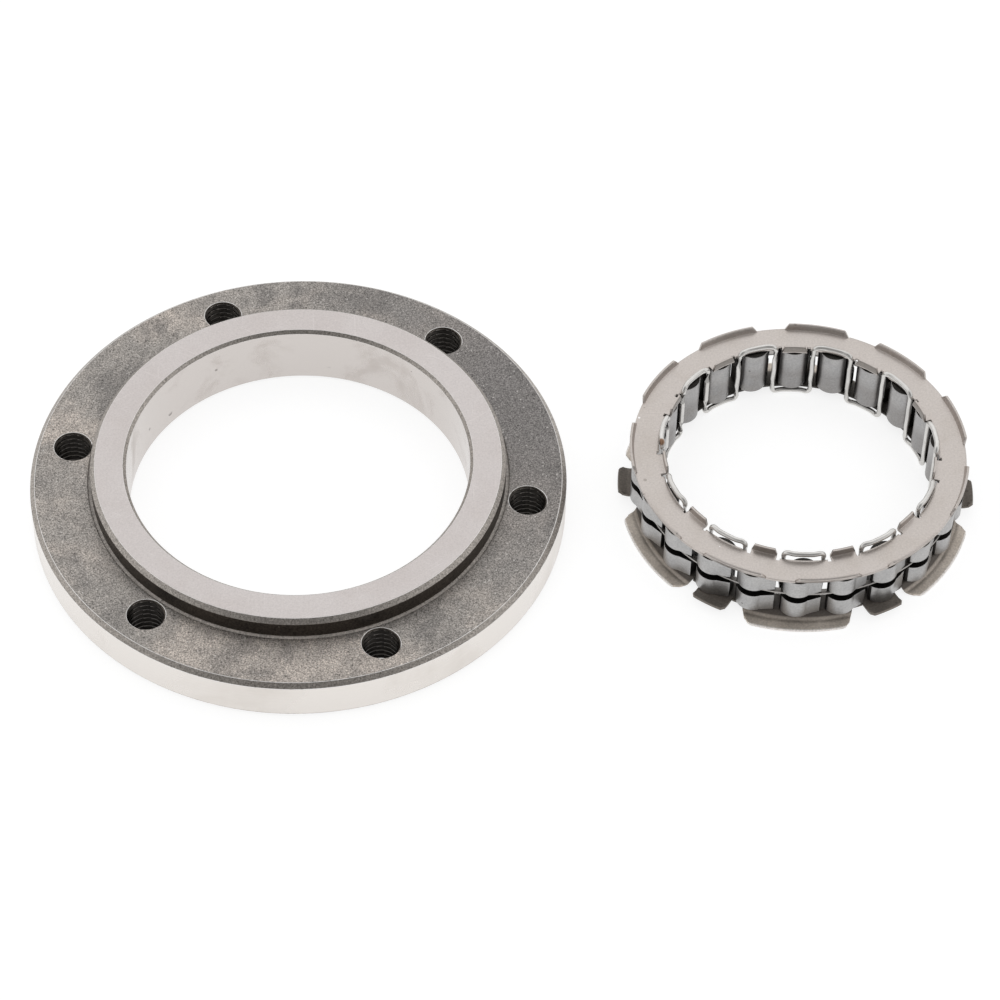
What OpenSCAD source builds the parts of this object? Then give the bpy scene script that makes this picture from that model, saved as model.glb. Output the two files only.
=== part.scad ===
// Starter clutch laid out in two sets: the bolt-on outer race, and beside it the sprag cage that
// runs inside the race's bore. Millimetres, +Z up, origin on the race's axis at its base face.

/* [Outer race] */
// Diameter of the ground bore that the sprags press on
bore_d = 66.4; // [58:0.1:78]
// Chamfer at each end of the bore
bore_chamfer = 0.65; // [0.2:0.05:1.2]
// Thickness of the collar's wall
collar_wall = 7; // [4:0.1:12]
// Height of the collar above the flange
collar_h = 4.3; // [3:0.1:8]
// Chamfer round the collar's top edge
collar_chamfer = 0.9; // [0.3:0.1:1.2]
// Width of the relief groove at the collar's root
root_groove_w = 0.6; // [0.3:0.1:0.8]
// Depth of the relief groove below the flange's face
root_groove_t = 0.3; // [0.1:0.1:0.8]
// Reach of that groove under the collar's wall
root_undercut = 0.2; // [0.05:0.05:0.4]
// Thickness of the flange
flange_t = 9.3; // [6:0.1:14]
// Chamfer round the flange's two outer edges
flange_chamfer = 0.9; // [0.3:0.1:1.5]

/* [Bolt holes] */
// Number of threaded holes
hole_count = 6; // [3:1:12]
// Diameter at the crests of a hole's thread
hole_d = 6.7; // [5:0.1:8.4]
// Depth of the countersink at a hole's upper end
hole_sink = 0.3; // [0.2:0.05:1]
// Depth of the countersink at a hole's lower end
hole_sink_base = 0.3; // [0.2:0.05:0.45]
// Gap between a hole's mouth and the collar's wall
hole_to_collar = 0.9; // [0.7:0.1:4]
// Gap between a hole's mouth and the flange's edge
hole_to_edge = 3.6; // [1.5:0.1:6]
// Turn of the first hole from the front, towards the right
hole_turn = 22.9; // [0:0.1:60]

/* [Layout] */
// Gap between the two sets as they lie on the bench
set_gap = 10.25; // [2:0.05:60]
// Place of the cage's axis behind the race's axis
cage_back = 5.4; // [-20:0.1:20]

/* [Cage rings] */
// Height of the space between the hub and the bore, which the sprags bridge
sprag_space = 7.2; // [6.6:0.05:7.8]
// Thickness of the sheet that both rings are pressed from
sheet = 0.5; // [0.3:0.05:0.8]
// Gap between the hub and the inner edge of both rings
ring_gap = 1.2; // [1.1:0.05:1.8]
// Width of the top ring
ring_w = 5.3; // [4:0.1:5.4]
// Height of the upturned lips above the top ring's face
lip_h = 1.15; // [0.5:0.05:1.5]
// Outward lean of a lip from its base to its top
lip_lean = 0.4; // [0:0.05:0.5]
// Length of a lip along its base
lip_len = 12.9; // [8:0.1:14]
// Height of the upturned tabs above the top ring's face
tab_h = 1.45; // [0.6:0.05:1.6]
// Place of a tab's outer face inwards of the rings' inner edge
tab_in = 0.6; // [0.3:0.05:0.6]
// Width of a tab along its base
tab_w = 5; // [3:0.1:5.6]
// Width of the relief notch at each side of a tab
notch_w = 0.7; // [0.3:0.1:1]

// Height over the sheet up to which a lip or tab keeps the full width of its bend
bend_rise = 0.2; // [0.1:0.05:0.3]

/* [Cage flange] */
// Width of the bottom ring's plate in the gaps between its lobes and small tabs
plate_w = 4.1; // [3.6:0.1:5]
// Width of that plate up to the step of a lobe
step_w = 3.3; // [3:0.1:4.5]
// Reach of the wide lobes past the rings' inner edge
lobe_reach = 7.3; // [6.5:0.1:10]
// Gap along the step between a lobe and the small tab beside it
lobe_to_ear = 1.7; // [1:0.1:6]
// How much narrower a lobe is at its tip
lobe_taper = 1.4; // [0:0.1:3]
// Drop of the lobes below the bottom ring's plate
lobe_drop = 1.5; // [1.2:0.1:2.5]
// Corner cut of the lobes and small tabs
corner_cut = 0.7; // [0.2:0.1:1.5]
// Reach of the six small tabs past the rings' inner edge
ear_reach = 7.7; // [6.5:0.1:10]
// Width of a small tab
ear_w = 6.9; // [4:0.1:9]
// Rise of a small tab's tip
ear_rise = 0.6; // [0.2:0.05:1]
// Turn of the lobes from the front, towards the right
lobe_turn = -1; // [-15:0.5:15]

/* [Sprags] */
// Length of a sprag
sprag_len = 10; // [8:0.1:14]
// Gap between a sprag's end and a ring
end_gap = 0.1; // [0.05:0.01:0.3]
// Radius of the inner cam, which is centred on the rocking axis
inner_cam_r = 3.3; // [3:0.05:3.5]
// Radius of the outer cam
outer_cam_r = 3.25; // [3.1:0.05:3.4]
// Place of the outer cam's centre outwards of the rocking axis
outer_cam_out = 0.05; // [0:0.05:0.3]
// Height of the groove that the hoop lies in
groove_h = 1.6; // [1:0.05:2.5]
// Place of the groove's floor outwards of the rocking axis
groove_out = 0.3; // [0:0.05:0.6]

/* [Spring and hoop] */
// Diameter of the meander spring's wire
wire_d = 1; // [0.6:0.05:1.1]
// Gap between the spring's legs and the rings' inner edge
wire_gap = 0.15; // [0.1:0.01:0.3]
// Gap between the spring's top loops and the top ring's face
loop_gap = 0.8; // [0.1:0.05:0.9]
// Gap between the spring's bottom loops and the bottom ring
hook_gap = 0.1; // [0.05:0.01:0.3]
// Radius of the spring's bends
wire_bend_r = 1; // [0.8:0.05:1.4]
// Outward reach of the spring's top loops past its legs
loop_reach = 0.3; // [0.1:0.05:1]
// Outward reach of the spring's bottom loops past its legs
foot_reach = 0.3; // [0.1:0.05:0.6]
// Thickness of the hoop
hoop_t = 0.4; // [0.3:0.05:0.6]
// Gap between the groove's floor and the hoop
hoop_gap = 0.7; // [0.6:0.05:1]
// Width of the hoop
hoop_w = 1.1; // [0.8:0.05:1.3]

/* [Hidden] */

sprag_count = 22;
pitch = 360 / sprag_count;
loop_count = sprag_count / 2;
lobe_count = 6;
round_fn = 180;
small_fn = 48;
front = -90;

// The race's circles, from the bore outwards
bore_r = bore_d / 2;
collar_r = bore_r + collar_wall;
mouth_r = hole_d / 2 + hole_sink;
hole_circle_r = collar_r + hole_to_collar + mouth_r;
flange_r = hole_circle_r + mouth_r + hole_to_edge;
race_top = flange_t + collar_h;

// The cage's circles, from the hub outwards
hub_r = bore_r - sprag_space;
ring_inner_r = hub_r + ring_gap;
ring_outer_r = ring_inner_r + ring_w;
tab_r = ring_inner_r - tab_in;
plate_r = ring_inner_r + plate_w;
step_r = ring_inner_r + step_w;
lobe_r = ring_inner_r + lobe_reach;
ear_r = ring_inner_r + ear_reach;
ear_half = asin(ear_w / 2 / step_r);
lobe_half = 180 / lobe_count - ear_half - arc_deg(lobe_to_ear, step_r);
lobe_w = 2 * step_r * sin(lobe_half);
sprag_axis_r = hub_r + inner_cam_r;
groove_r = sprag_axis_r + groove_out;
hoop_inner_r = groove_r + hoop_gap;
hoop_outer_r = hoop_inner_r + hoop_w;

// The cage's place beside the race
cage_away = flange_r + set_gap + ear_r;
cage_x = sqrt(cage_away * cage_away - cage_back * cage_back);

// Heights in the cage, from the floor that the lobes stand on
plate_top = lobe_drop + sheet;
sprag_bottom = plate_top + end_gap;
sprag_top = sprag_bottom + sprag_len;
ring_bottom = sprag_top + end_gap;
ring_face = ring_bottom + sheet;
groove_bottom = sprag_bottom + (sprag_len - groove_h) / 2;
groove_top = groove_bottom + groove_h;
hoop_bottom = groove_top - end_gap - hoop_t;

// The lips stand a little past the top ring's edge
lip_out = 0.1;

// The sloped sheet of a step keeps its thickness with this extra run
step_miter = sheet * tan(22.5);

// Where a small tab begins to turn up, outside the sprags' reach
ear_bend_r = ear_r - 1.9;

// The sprag's outline: shares of the room that each sprag has round the axis, and the ends of the
// outer cam's arc as angles from the outward direction
room = 2 * PI * sprag_axis_r / sprag_count;
outer_cam_back = 0.1195 * room;
toe_front = 0.4302 * room;
toe_out = 1.6;
heel_angle = 73.7;
flank_angle = 40.3;
heel_out = outer_cam_out + outer_cam_r * cos(heel_angle);
heel_back = outer_cam_back + outer_cam_r * sin(heel_angle);
flank_out = outer_cam_out + outer_cam_r * cos(flank_angle);
flank_front = outer_cam_r * sin(flank_angle) - outer_cam_back;
core_in = 0.4;
core_tuck = 0.1;

// The spring's centre line
leg_r = ring_inner_r - wire_gap - wire_d / 2;
loop_z = ring_face + loop_gap + wire_d / 2;
foot_z = lobe_drop - hook_gap - wire_d / 2;
reach_run = 2.2 * wire_bend_r;
wire_sides = 8;
bend_steps = 3;

// How far a cutting shape runs past what it cuts
past = 1;

function sprag_name(i) = str("sprag_", i < 10 ? "0" : "", i);
function smooth(t) = let (u = min(max(t, 0), 1)) u * u * (3 - 2 * u);
function arc_deg(len, r) = len / r * 180 / PI;

// Half of one loop: from the leg to the loop's middle, as [angle from the middle, radius, height]
function half_loop(z_bar, up, reach) = concat(
    [for (i = [0:bend_steps])
        let (a = 90 * i / bend_steps, run = wire_bend_r * (1 - cos(a)))
        [arc_deg(run, leg_r) - pitch / 2,
         leg_r + reach * smooth(run / reach_run),
         z_bar - up * wire_bend_r * (1 - sin(a))]],
    [for (run = [(wire_bend_r + reach_run) / 2, reach_run])
        [arc_deg(run, leg_r) - pitch / 2, leg_r + reach * smooth(run / reach_run), z_bar]]
);
function whole_loop(z_bar, up, reach) =
    let (h = half_loop(z_bar, up, reach), n = len(h))
    concat(h, [[0, leg_r + reach, z_bar]], [for (i = [n - 1:-1:0]) [-h[i][0], h[i][1], h[i][2]]]);
function at(turn, p) = [p[1] * cos(turn + p[0]), p[1] * sin(turn + p[0]), p[2]];
function spring_path() = [
    for (k = [0:loop_count - 1])
        each concat(
            [for (p = whole_loop(loop_z, 1, loop_reach)) at(front + 2 * k * pitch, p)],
            [for (p = whole_loop(foot_z, -1, foot_reach)) at(front + (2 * k + 1) * pitch, p)]
        )
];
function unit(v) = v / norm(v);

// A closed round tube along a closed list of points; each ring's first side faces outwards
module closed_tube(path, d, sides) {
    n = len(path);
    points = [
        for (i = [0:n - 1])
            let (
                t = unit(path[(i + 1) % n] - path[(i + n - 1) % n]),
                out = unit([path[i][0], path[i][1], 0]),
                u = unit(out - (out * t) * t),
                v = cross(t, u)
            )
            for (s = [0:sides - 1])
                path[i] + d / 2 * (cos(360 * s / sides) * u + sin(360 * s / sides) * v)
    ];
    faces = [
        for (i = [0:n - 1])
            for (s = [0:sides - 1])
                let (
                    a = i * sides + s,
                    b = i * sides + (s + 1) % sides,
                    c = ((i + 1) % n) * sides + (s + 1) % sides,
                    e = ((i + 1) % n) * sides + s
                )
                each [[a, c, b], [a, e, c]]
    ];
    polyhedron(points = points, faces = faces, convexity = 10);
}

module at_cage() {
    translate([cage_x, cage_back, 0]) children();
}

// The hardened ring: a flange, a collar and a bore turned in one, with threaded holes
module outer_race() {
    color([0.55, 0.53, 0.52])
    difference() {
        rotate_extrude($fn = round_fn)
            polygon([
                [bore_r + bore_chamfer, 0],
                [flange_r - flange_chamfer, 0],
                [flange_r, flange_chamfer],
                [flange_r, flange_t - flange_chamfer],
                [flange_r - flange_chamfer, flange_t],
                [collar_r + root_groove_w, flange_t],
                [collar_r + root_groove_w, flange_t - root_groove_t],
                [collar_r - root_undercut, flange_t - root_groove_t],
                [collar_r, flange_t],
                [collar_r, race_top - collar_chamfer],
                [collar_r - collar_chamfer, race_top],
                [bore_r + bore_chamfer, race_top],
                [bore_r, race_top - bore_chamfer],
                [bore_r, bore_chamfer]
            ]);
        for (i = [0:hole_count - 1])
            rotate(front + hole_turn + i * 360 / hole_count)
                translate([hole_circle_r, 0, 0]) threaded_hole();
    }
}

// A hole with a countersink at each end; the thread's turns are too fine to cut here
module threaded_hole() {
    translate([0, 0, -past])
        cylinder(d = hole_d, h = flange_t + 2 * past, $fn = small_fn);
    translate([0, 0, flange_t - hole_sink])
        cylinder(d1 = hole_d, d2 = hole_d + 4 * hole_sink, h = 2 * hole_sink, $fn = small_fn);
    translate([0, 0, -hole_sink_base])
        cylinder(d1 = hole_d + 4 * hole_sink_base, d2 = hole_d, h = 2 * hole_sink_base, $fn = small_fn);
}

// A standing wall with slanted ends, bent up from the top ring's sheet
module wall_slice(r_out, lean, h, base_w, slant) {
    intersection() {
        rotate_extrude($fn = round_fn)
            polygon([
                [r_out - sheet, ring_bottom],
                [r_out, ring_bottom],
                [r_out, ring_face],
                [r_out + lean, ring_face + h],
                [r_out + lean - sheet, ring_face + h],
                [r_out - sheet, ring_face]
            ]);
        translate([r_out / 2, 0, ring_bottom])
            rotate([90, 0, 90])
            linear_extrude(height = r_out)
            polygon([
                [-base_w / 2, -past],
                [base_w / 2, -past],
                [base_w / 2, sheet + bend_rise],
                [base_w / 2 - slant, sheet + h],
                [base_w / 2 - slant, sheet + h + past],
                [-base_w / 2 + slant, sheet + h + past],
                [-base_w / 2 + slant, sheet + h],
                [-base_w / 2, sheet + bend_rise]
            ]);
    }
}

// The top ring: flat sheet with lips round its outer edge and tabs round its inner edge
module top_ring() {
    color([0.77, 0.74, 0.72])
    at_cage() {
        difference() {
            translate([0, 0, ring_bottom]) cylinder(r = ring_outer_r, h = sheet, $fn = round_fn);
            translate([0, 0, ring_bottom - past])
                cylinder(r = ring_inner_r, h = sheet + 2 * past, $fn = round_fn);
            for (k = [0:loop_count - 1])
                rotate(front + (2 * k + 1) * pitch)
                    for (side = [-1, 1])
                        translate([
                            ring_inner_r - past,
                            side * (tab_w + notch_w) / 2 - notch_w / 2,
                            ring_bottom - past
                        ])
                            cube([past + notch_w, notch_w, sheet + 2 * past]);
        }
        for (k = [0:loop_count - 1]) {
            rotate(front + (2 * k + 0.5) * pitch)
                wall_slice(ring_outer_r + lip_out, lip_lean, lip_h, lip_len, lip_h * 0.7);
            rotate(front + (2 * k + 1) * pitch) {
                wall_slice(tab_r, 0, tab_h, tab_w, tab_h * 0.35);
                translate([tab_r - sheet / 2, -tab_w / 2, ring_bottom])
                    cube([tab_in + sheet, tab_w, sheet]);
            }
        }
    }
}

// A strip that leaves the axis, narrows past the step and ends in two cut corners at radius r
module strip(w, tip_w, r, turn) {
    rotate(front + lobe_turn + turn)
        translate([0, 0, -past])
        linear_extrude(height = plate_top + ear_rise + 2 * past)
            polygon([
                [step_r / 2, -w / 2],
                [step_r, -w / 2],
                [r - corner_cut, -tip_w / 2],
                [r + corner_cut, -tip_w / 2 + 2 * corner_cut],
                [r + corner_cut, tip_w / 2 - 2 * corner_cut],
                [r - corner_cut, tip_w / 2],
                [step_r, w / 2],
                [step_r / 2, w / 2]
            ]);
}

module lobe_strip(k) {
    strip(lobe_w, lobe_w - lobe_taper, lobe_r, k * 360 / lobe_count);
}

// The bottom ring: a plate with six wide lobes stepped down and six small tabs turned up
module bottom_ring() {
    color([0.7, 0.67, 0.64])
    at_cage() {
        difference() {
            translate([0, 0, lobe_drop]) cylinder(r = plate_r, h = sheet, $fn = round_fn);
            translate([0, 0, lobe_drop - past])
                cylinder(r = ring_inner_r, h = sheet + 2 * past, $fn = round_fn);
            difference() {
                for (k = [0:lobe_count - 1]) lobe_strip(k);
                translate([0, 0, -2 * past])
                    cylinder(r = step_r, h = plate_top + ear_rise + 4 * past, $fn = round_fn);
            }
        }
        intersection() {
            rotate_extrude($fn = round_fn)
                polygon([
                    [step_r - past, lobe_drop],
                    [step_r, lobe_drop],
                    [step_r + lobe_drop, 0],
                    [lobe_r, 0],
                    [lobe_r, sheet],
                    [step_r + lobe_drop + step_miter, sheet],
                    [step_r + step_miter, plate_top],
                    [step_r - past, plate_top]
                ]);
            for (k = [0:lobe_count - 1]) lobe_strip(k);
        }
        intersection() {
            rotate_extrude($fn = round_fn)
                polygon([
                    [step_r - past, lobe_drop],
                    [ear_bend_r, lobe_drop],
                    [ear_r, lobe_drop + ear_rise],
                    [ear_r, plate_top + ear_rise],
                    [ear_bend_r, plate_top],
                    [step_r - past, plate_top]
                ]);
            for (k = [0:lobe_count - 1])
                strip(ear_w, ear_w, ear_r, (k + 0.5) * 360 / lobe_count);
        }
    }
}

// The spring: one closed wire, a leg between each two sprags, hooked over the rings by turns
module meander_spring() {
    color([0.86, 0.86, 0.84])
    at_cage() closed_tube(spring_path(), wire_d, wire_sides);
}

// The hoop that lies in the sprags' grooves
module retaining_hoop() {
    color([0.7, 0.68, 0.66])
    at_cage()
    difference() {
        translate([0, 0, hoop_bottom]) cylinder(r = hoop_outer_r, h = hoop_t, $fn = round_fn);
        translate([0, 0, hoop_bottom - past])
            cylinder(r = hoop_inner_r, h = hoop_t + 2 * past, $fn = round_fn);
    }
}

// A sprag's section about its rocking axis: +X points outwards, +Y round towards the toe
module sprag_section() {
    circle(r = inner_cam_r, $fn = small_fn);
    intersection() {
        translate([outer_cam_out, -outer_cam_back]) circle(r = outer_cam_r, $fn = small_fn * 2);
        translate([heel_out, -heel_back]) square([2 * outer_cam_r, heel_back + flank_front]);
    }
    polygon([
        [-core_in, -inner_cam_r + core_tuck],
        [heel_out, -heel_back],
        [flank_out, flank_front],
        [toe_out, toe_front],
        [0, inner_cam_r - core_tuck],
        [-core_in, 0]
    ]);
}

module sprag(i) {
    color([0.66, 0.65, 0.64])
    at_cage()
    rotate(front + (i - 1) * pitch)
    difference() {
        translate([sprag_axis_r, 0, sprag_bottom]) linear_extrude(height = sprag_len) sprag_section();
        difference() {
            translate([0, 0, groove_bottom]) cylinder(r = bore_r + past, h = groove_h, $fn = round_fn);
            translate([0, 0, groove_bottom - past])
                cylinder(r = groove_r, h = groove_h + 2 * past, $fn = round_fn);
        }
    }
}

outer_race();
top_ring();
bottom_ring();
meander_spring();
retaining_hoop();
for (i = [1:22])
    sprag(i);
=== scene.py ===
"""Looks of the starter clutch: the bolt-on outer race and, beside it, the sprag cage.

Sizes are written in millimetres and turned into metres by mm(). Angles round the cage are counted
in degrees from its front, towards the right.
"""
import math

import bmesh
import bpy
from mathutils import Matrix, Vector


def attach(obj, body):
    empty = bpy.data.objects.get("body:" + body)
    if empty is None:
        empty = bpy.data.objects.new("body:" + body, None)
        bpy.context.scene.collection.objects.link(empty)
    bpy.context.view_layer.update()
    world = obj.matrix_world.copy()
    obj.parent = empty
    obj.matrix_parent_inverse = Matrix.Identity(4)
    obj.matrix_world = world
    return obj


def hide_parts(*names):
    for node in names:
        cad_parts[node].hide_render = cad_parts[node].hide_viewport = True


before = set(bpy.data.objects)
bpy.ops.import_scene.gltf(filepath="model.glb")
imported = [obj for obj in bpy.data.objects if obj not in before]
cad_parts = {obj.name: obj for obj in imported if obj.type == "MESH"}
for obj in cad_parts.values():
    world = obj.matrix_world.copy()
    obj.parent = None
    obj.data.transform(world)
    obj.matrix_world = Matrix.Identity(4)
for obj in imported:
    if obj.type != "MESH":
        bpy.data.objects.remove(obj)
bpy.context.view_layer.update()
scene = bpy.context.scene

# The outer race
BORE_R = 33.2
BORE_CHAMFER = 0.65
COLLAR_R = 40.2
COLLAR_CHAMFER = 0.9
RACE_TOP = 13.6
GROOVE_W = 0.6
GROOVE_T = 0.3
GROOVE_UNDERCUT = 0.2
FLANGE_R = 52.0
FLANGE_T = 9.3
FLANGE_CHAMFER = 0.9
RACE_STEPS = 240
RIM = 0.3
SKIN_INSIDE = 0.002
TOUCH = 0.01

# Its threaded holes
HOLES = 6
HOLE_CIRCLE_R = 44.75
HOLE_TURN = 22.9
HOLE_R = 3.35
THREAD_DEPTH = 0.62
THREAD_PITCH = 1.25
THREAD_FLANK = 0.375
THREAD_CREST = 0.9
MOUTH_SINK = 0.3
BASE_SINK = 0.3
MOUTH_FLARE = 0.03
HOLE_SIDES = 48
ROWS_PER_TURN = 14

# The cage
CAGE = Vector((97.0, 5.4, 0.0))
SPRAGS = 22
PITCH = 360.0 / SPRAGS
LIPS = SPRAGS // 2
SHEET = 0.5
SHEET_EDGE = 0.07
BEND_R = 0.32
RING_INNER_R = 27.2
RING_OUTER_R = 32.5
RING_MID_Z = 12.45
LIP_LEN = 12.9
LIP_TOP = 13.85
LIP_MID_R = 32.35
LIP_LEAN = 0.4
LIP_SLANT = 0.115
TAB_W = 5.0
TAB_TOP = 14.15
TAB_MID_R = 26.35
TAB_SLANT = 0.14
NOTCH = 0.7
NOTCH_DEEP = 0.5

# The bottom ring
PLATE_MID_Z = 1.75
PLATE_R = 31.3
STEP_R = 30.5
LOBE_R = 34.5
LOBE_W = 21.17
LOBE_TAPER = 1.4
LOBE_MID_Z = 0.255
LOBE_CORNER = 1.1
EAR_R = 34.81
EAR_W = 6.9
EAR_BEND_R = 33.0
EAR_RISE = 0.6
EAR_CORNER = 0.8
LOBES = 6
STEP_RUN = 1.8
STEP_EASE = 0.16
LOBE_TURN = -1.0

# The sprags
SPRAG_AXIS_R = 29.3
SPRAG_LOW = 2.1
SPRAG_HIGH = 12.1
GROOVE_LOW = 6.3
GROOVE_HIGH = 7.9
GROOVE_OUT = 0.12
INNER_CAM_R = 3.3
INNER_CAM_ARC = (84.3, 265.2)
OUTER_CAM_R = 3.25
OUTER_CAM_ARC = (-73.7, 40.3)
OUTER_CAM_AT = (0.05, -1.0)
TOE = (1.6, 3.6)
SPRAG_EDGE = 0.1
INNER_CAMS_R = 28.2

# The spring and the hoop
WIRE_R = 0.5
LEG_R = 26.55
LOOP_Z = 14.0
FOOT_Z = 0.9
LOOP_REACH = 0.3
FOOT_REACH = 0.3
WIRE_BEND_R = 1.0
REACH_RUN = 2.2
RUST = (26.9, -90.9, 14.25)
HOOP_R = (30.3, 31.4)
HOOP_Z = (7.4, 7.8)

# The camera and the lamp
LENS = 137.951
CAMERA_AT = (39.129, -482.053, 575.129)
CAMERA_AHEAD = Vector((0.0, 0.64405, -0.76498))
CAMERA_ROLL = 1.295
SOFTBOX_AT = Vector((0.05, 0.55, 0.75))
TENT_GREY_TOWARDS = (0.0, -0.66, 0.75)
WHITE = (1.0, 1.0, 1.0, 1.0)


def mm(*values):
    """Millimetres to metres, for one number or a place."""
    scaled = [v * 0.001 for v in values]
    return scaled[0] if len(scaled) == 1 else Vector(scaled)


def round_place(radius, turn, height):
    """A place about the upright axis, turned from the front towards the right."""
    angle = math.radians(turn - 90.0)
    return Vector((radius * math.cos(angle), radius * math.sin(angle), height))


def paint(code, alpha=1.0):
    """A colour as it is seen, such as 8B8784, as the linear values that a shader takes."""
    parts = [int(code[i : i + 2], 16) / 255 for i in (0, 2, 4)]
    linear = [c / 12.92 if c <= 0.04045 else ((c + 0.055) / 1.055) ** 2.4 for c in parts]
    return (*linear, alpha)


# Shader parts


def add_node(tree, kind, inputs=None, **settings):
    """Adds a node with its settings; each input takes a value or the socket that feeds it."""
    node = tree.nodes.new(kind)
    node.location = (180 * len(tree.nodes), 0)
    for name, value in settings.items():
        setattr(node, name, value)
    for name, value in (inputs or {}).items():
        if isinstance(value, bpy.types.NodeSocket):
            tree.links.new(value, node.inputs[name])
        else:
            node.inputs[name].default_value = value
    return node


def maths(tree, operation, first, second, **settings):
    """A Math node on two numbers or sockets; returns its result."""
    node = add_node(tree, "ShaderNodeMath", {0: first, 1: second}, operation=operation, **settings)
    return node.outputs[0]


def object_place(tree):
    """The place on the piece, in metres."""
    return add_node(tree, "ShaderNodeTexCoord").outputs["Object"]


def shader_group(name, build, **inputs):
    """A shader group with number inputs; build(group, given) returns its outputs by name."""
    group = bpy.data.node_groups.new(name, "ShaderNodeTree")
    for label, default in inputs.items():
        socket = group.interface.new_socket(
            name=label.replace("_", " "), in_out="INPUT", socket_type="NodeSocketFloat"
        )
        socket.default_value = default
    made = build(group, add_node(group, "NodeGroupInput").outputs)
    for label in made:
        group.interface.new_socket(name=label, in_out="OUTPUT", socket_type="NodeSocketFloat")
    add_node(group, "NodeGroupOutput", made)
    return group


def fine_grain(group, given):
    """The fine grain of blasted or tumbled steel: a tone about 1 and a height."""
    noise = add_node(
        group,
        "ShaderNodeTexNoise",
        {"Vector": object_place(group), "Scale": given["Scale"], "Detail": 3.0, "Roughness": 0.65},
    ).outputs["Fac"]
    sharper = maths(group, "MULTIPLY", maths(group, "SUBTRACT", noise, 0.5), 5.0)
    tone = maths(group, "ADD", maths(group, "MULTIPLY", sharper, given["Amount"]), 1.0)
    return {"Tone": tone, "Height": noise}


def soft_stains(group, given):
    """Large soft stains: a mask from 0 to 1."""
    noise = add_node(
        group,
        "ShaderNodeTexNoise",
        {
            "Vector": object_place(group),
            "W": given["Seed"],
            "Scale": given["Scale"],
            "Detail": 5.0,
            "Roughness": 0.6,
            "Distortion": 0.6,
        },
        noise_dimensions="4D",
    )
    spread = add_node(
        group,
        "ShaderNodeMapRange",
        {"Value": noise.outputs["Fac"], "From Min": given["From"], "From Max": given["To"]},
        interpolation_type="SMOOTHSTEP",
    )
    return {"Mask": spread.outputs["Result"]}


def small_specks(group, given):
    """Small scattered specks: a mask that is 1 inside a speck."""
    cells = add_node(
        group, "ShaderNodeTexVoronoi", {"Vector": object_place(group), "Scale": given["Scale"]}
    ).outputs
    chance = add_node(group, "ShaderNodeSeparateColor", {"Color": cells["Color"]}).outputs["Red"]
    inside = maths(group, "LESS_THAN", cells["Distance"], given["Size"])
    chosen = maths(group, "LESS_THAN", chance, given["Share"])
    return {"Mask": maths(group, "MULTIPLY", inside, chosen)}


def fine_scratches(group, given):
    """Fine straight scratches in one direction: a mask that is 1 in a scratch."""
    turned = add_node(
        group,
        "ShaderNodeVectorRotate",
        {"Vector": object_place(group), "Angle": given["Turn"]},
        rotation_type="Z_AXIS",
    )
    size = add_node(
        group, "ShaderNodeCombineXYZ", {"X": given["Along"], "Y": given["Across"], "Z": given["Along"]}
    )
    stretched = add_node(
        group,
        "ShaderNodeVectorMath",
        {0: turned.outputs["Vector"], 1: size.outputs["Vector"]},
        operation="MULTIPLY",
    )
    noise = add_node(
        group, "ShaderNodeTexNoise", {"Vector": stretched.outputs["Vector"], "Scale": 1.0, "Detail": 1.0}
    )
    return {"Mask": maths(group, "GREATER_THAN", noise.outputs["Fac"], given["Share"])}


def about_axis(group, given):
    """The place from an upright axis, as its X, Y and Z, and its distance from the axis."""
    axis = add_node(group, "ShaderNodeCombineXYZ", {"X": given["Axis X"], "Y": given["Axis Y"]})
    moved = add_node(
        group,
        "ShaderNodeVectorMath",
        {0: object_place(group), 1: axis.outputs["Vector"]},
        operation="SUBTRACT",
    )
    parts = add_node(group, "ShaderNodeSeparateXYZ", {"Vector": moved.outputs["Vector"]}).outputs
    flat = add_node(group, "ShaderNodeCombineXYZ", {"X": parts["X"], "Y": parts["Y"]})
    radius = add_node(group, "ShaderNodeVectorMath", {0: flat.outputs["Vector"]}, operation="LENGTH")
    return parts, radius.outputs["Value"]


def tool_lines(group, given):
    """Rings that a tool left about the axis: a tone about 1 that changes with radius and height."""
    parts, radius = about_axis(group, given)
    along = maths(group, "MULTIPLY", maths(group, "ADD", radius, parts["Z"]), given["Lines"])
    noise = add_node(
        group, "ShaderNodeTexNoise", {"W": along, "Scale": 1.0, "Detail": 2.0}, noise_dimensions="1D"
    )
    centred = maths(group, "SUBTRACT", noise.outputs["Fac"], 0.5)
    return {"Tone": maths(group, "ADD", maths(group, "MULTIPLY", centred, given["Amount"]), 1.0)}


def ring_zone(group, given):
    """A ring-shaped zone about the axis: a mask between two radii and two heights."""
    parts, radius = about_axis(group, given)
    limits = [
        (radius, given["Inner"]),
        (given["Outer"], radius),
        (parts["Z"], given["Low"]),
        (given["High"], parts["Z"]),
    ]
    mask = 1.0
    for more, less in limits:
        share = maths(group, "DIVIDE", maths(group, "SUBTRACT", more, less), given["Soft"])
        mask = maths(group, "MULTIPLY", mask, maths(group, "ADD", share, 0.5, use_clamp=True))
    return {"Mask": mask}


def repeated_sectors(group, given):
    """Sectors that repeat round the axis: a mask that is 1 within half a width of each centre."""
    parts, _ = about_axis(group, given)
    turn = maths(group, "ARCTAN2", parts["Y"], parts["X"])
    counted = maths(group, "MULTIPLY", maths(group, "SUBTRACT", turn, given["First"]), given["Count"])
    wave = maths(group, "PINGPONG", maths(group, "DIVIDE", counted, math.tau), 0.5)
    away = maths(group, "DIVIDE", maths(group, "MULTIPLY", wave, math.tau), given["Count"])
    inside = maths(group, "SUBTRACT", maths(group, "MULTIPLY", given["Width"], 0.5), away)
    share = maths(group, "DIVIDE", inside, given["Soft"])
    return {"Mask": maths(group, "ADD", share, 0.5, use_clamp=True)}


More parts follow.
